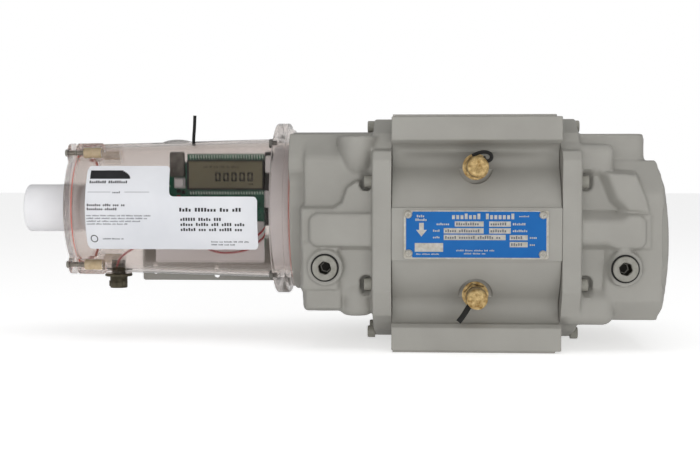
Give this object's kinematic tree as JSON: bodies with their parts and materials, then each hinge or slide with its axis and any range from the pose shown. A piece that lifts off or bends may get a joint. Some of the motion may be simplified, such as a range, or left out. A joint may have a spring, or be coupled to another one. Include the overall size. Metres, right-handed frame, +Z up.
{
  "type": "rotary gas meter",
  "caption": "Rotary gas meter with figure-eight impellers in a flanged body, gear and thrust end covers, and a clear electronic index with a display.",
  "frame": {"origin": "centre of the bottom flange's raised face, on the pipe axis", "axes": "+Z up the pipe axis from outlet to inlet, +X along the impeller shafts from the index end to the thrust end, -Y towards the front with the nameplate"},
  "size_m": [0.494, 0.2105, 0.1757],
  "materials": {
    "casting_enamel": "satin grey enamel on cast aluminium",
    "machined_aluminium": "machined",
    "plug_metal": "turned, satin",
    "steel": "ground",
    "screw_painted": "enamelled over with the casting",
    "magnet": "moulded magnet carrier",
    "brass": "turned and knurled",
    "seal_rubber": "matt black",
    "plate_print": "blue print on thin aluminium",
    "clear_polycarbonate": "clear moulded",
    "gasket_red": "red rubber",
    "label_paper": "satin coated label",
    "white_plastic": "white moulded",
    "battery_wrap": "shrink wrap",
    "black_plastic": "moulded black",
    "board_green": "solder mask",
    "display": "liquid crystal display in a black frame",
    "connector_shell": "olive conversion coating"
  },
  "bodies": {
    "meter": {"meter_body": "casting_enamel", "drive_end_cover": "casting_enamel", "thrust_end_cover": "casting_enamel", "badge_plate": "casting_enamel", "headplate_drive": "machined_aluminium", "headplate_thrust": "machined_aluminium", "board_bracket": "machined_aluminium", "oil_plug_drive": "plug_metal", "oil_plug_thrust": "plug_metal", "bearing_drive_front": "steel", "bearing_drive_rear": "steel", "bearing_thrust_front": "steel", "bearing_thrust_rear": "steel", "oil_plug_seal_drive": "seal_rubber", "oil_plug_seal_thrust": "seal_rubber", "tap_fitting_upper": "brass", "tap_fitting_lower": "brass", "tap_tether_upper": "seal_rubber", "tap_tether_lower": "seal_rubber", "nameplate": "plate_print", "clear_cover": "clear_polycarbonate", "end_cap": "clear_polycarbonate", "end_cap_gasket": "gasket_red", "base_gasket": "gasket_red", "index_label": "label_paper", "battery_tube": "white_plastic", "battery": "battery_wrap", "index_base": "black_plastic", "circuit_board": "board_green", "lcd_module": "display", "pulse_sensor": "black_plastic", "pulse_connector": "connector_shell", "seal_tie": "black_plastic", "cover_screw_drive_1": "screw_painted", "cover_screw_drive_2": "screw_painted", "cover_screw_drive_3": "screw_painted", "cover_screw_drive_4": "screw_painted", "cover_screw_drive_5": "screw_painted", "cover_screw_drive_6": "screw_painted", "cover_screw_drive_7": "screw_painted", "cover_screw_drive_8": "screw_painted", "cover_screw_thrust_1": "screw_painted", "cover_screw_thrust_2": "screw_painted", "cover_screw_thrust_3": "screw_painted", "cover_screw_thrust_4": "screw_painted", "cover_screw_thrust_5": "screw_painted", "cover_screw_thrust_6": "screw_painted", "cover_screw_thrust_7": "screw_painted", "cover_screw_thrust_8": "screw_painted"},
    "front_rotor": {"impeller_front": "machined_aluminium", "shaft_front": "steel", "timing_gear_front": "steel", "drive_magnet": "magnet"},
    "rear_rotor": {"impeller_rear": "machined_aluminium", "shaft_rear": "steel", "timing_gear_rear": "steel", "oil_slinger_drive": "steel", "oil_slinger_thrust": "steel"},
    "upper_tap_cap": {"tap_cap_upper": "brass"},
    "lower_tap_cap": {"tap_cap_lower": "brass"}
  },
  "joints": [
    {"name": "rear_impeller_spin", "type": "hinge", "parent": "meter", "child": "rear_rotor", "pos_m": [0, 0.0345, 0.08572], "axis": [1, 0, 0], "continuous": true},
    {"name": "front_impeller_spin", "type": "hinge", "parent": "meter", "child": "front_rotor", "pos_m": [0, -0.0345, 0.08572], "axis": [1, 0, 0], "continuous": true},
    {"name": "upper_cap_pull", "type": "slide", "parent": "meter", "child": "upper_tap_cap", "axis": [0, -1, 0], "range_m": [0, 0.018]},
    {"name": "lower_cap_pull", "type": "slide", "parent": "meter", "child": "lower_tap_cap", "axis": [0, -1, 0], "range_m": [0, 0.018]}
  ],
  "couplings": [
    {"joint": "front_impeller_spin", "follows": "rear_impeller_spin", "ratio": -1}
  ]
}
